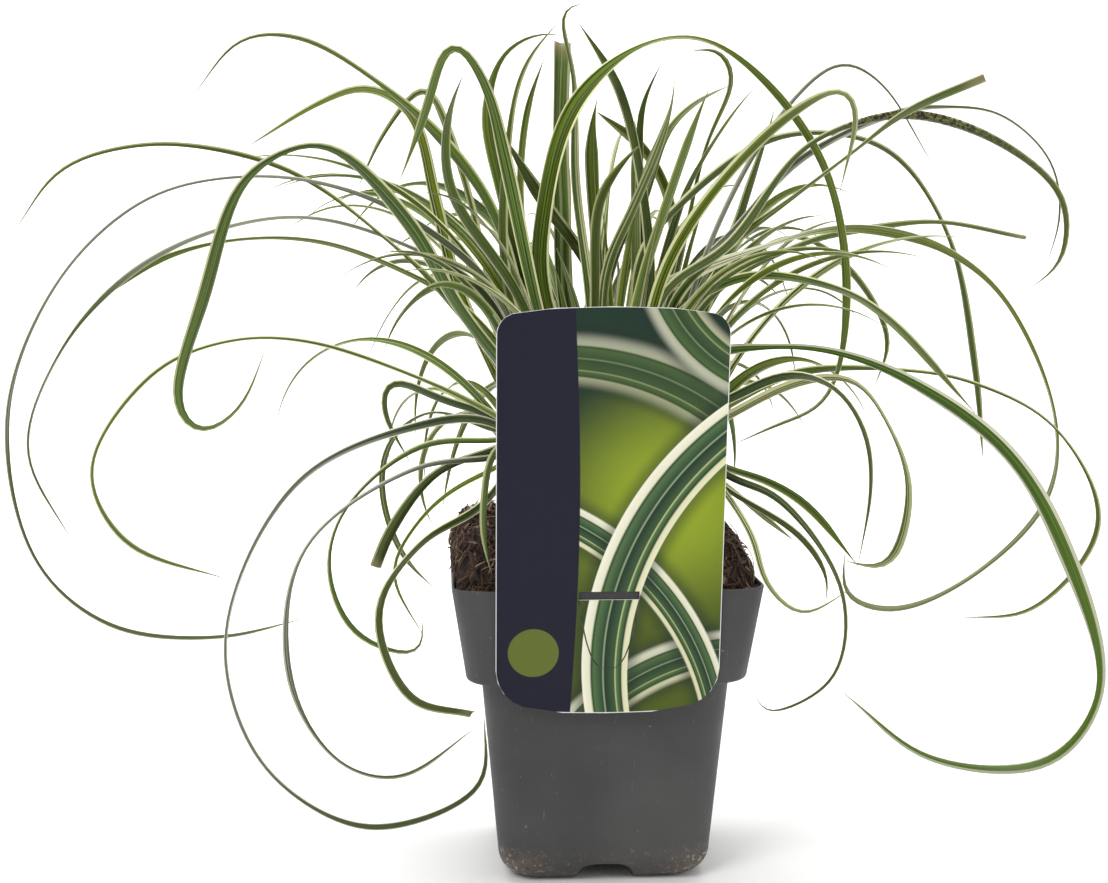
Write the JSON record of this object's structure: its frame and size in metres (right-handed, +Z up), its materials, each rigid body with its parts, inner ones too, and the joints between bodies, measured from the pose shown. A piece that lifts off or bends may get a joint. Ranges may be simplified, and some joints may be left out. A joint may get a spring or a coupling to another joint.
{
  "type": "potted carex sedge",
  "caption": "Variegated arching sedge, a tuft of narrow strap leaves growing in a square plastic nursery pot with a hanging plant label.",
  "frame": {"origin": "on the floor under the middle of the pot and of the plant's whole outline", "axes": "+Z up, +X to the right of the label, which hangs on the pot's -Y side"},
  "size_m": [0.4764, 0.3212, 0.377],
  "materials": {
    "pot_plastic": "matte moulded polypropylene, dusty",
    "soil": "rough peat, bark chips and fibres",
    "label_plastic": "satin printed sheet",
    "leaf": "semi-gloss, green with cream margins and fine stripes"
  },
  "bodies": {
    "root": {"pot": "pot_plastic", "soil": "soil", "label": "label_plastic", "leaf_shoot_0": "leaf", "leaf_shoot_1": "leaf", "leaf_shoot_2": "leaf", "leaf_shoot_3": "leaf", "leaf_shoot_4": "leaf", "leaf_shoot_5": "leaf", "leaf_shoot_6": "leaf", "leaf_shoot_7": "leaf", "leaf_shoot_8": "leaf"}
  },
  "joints": []
}
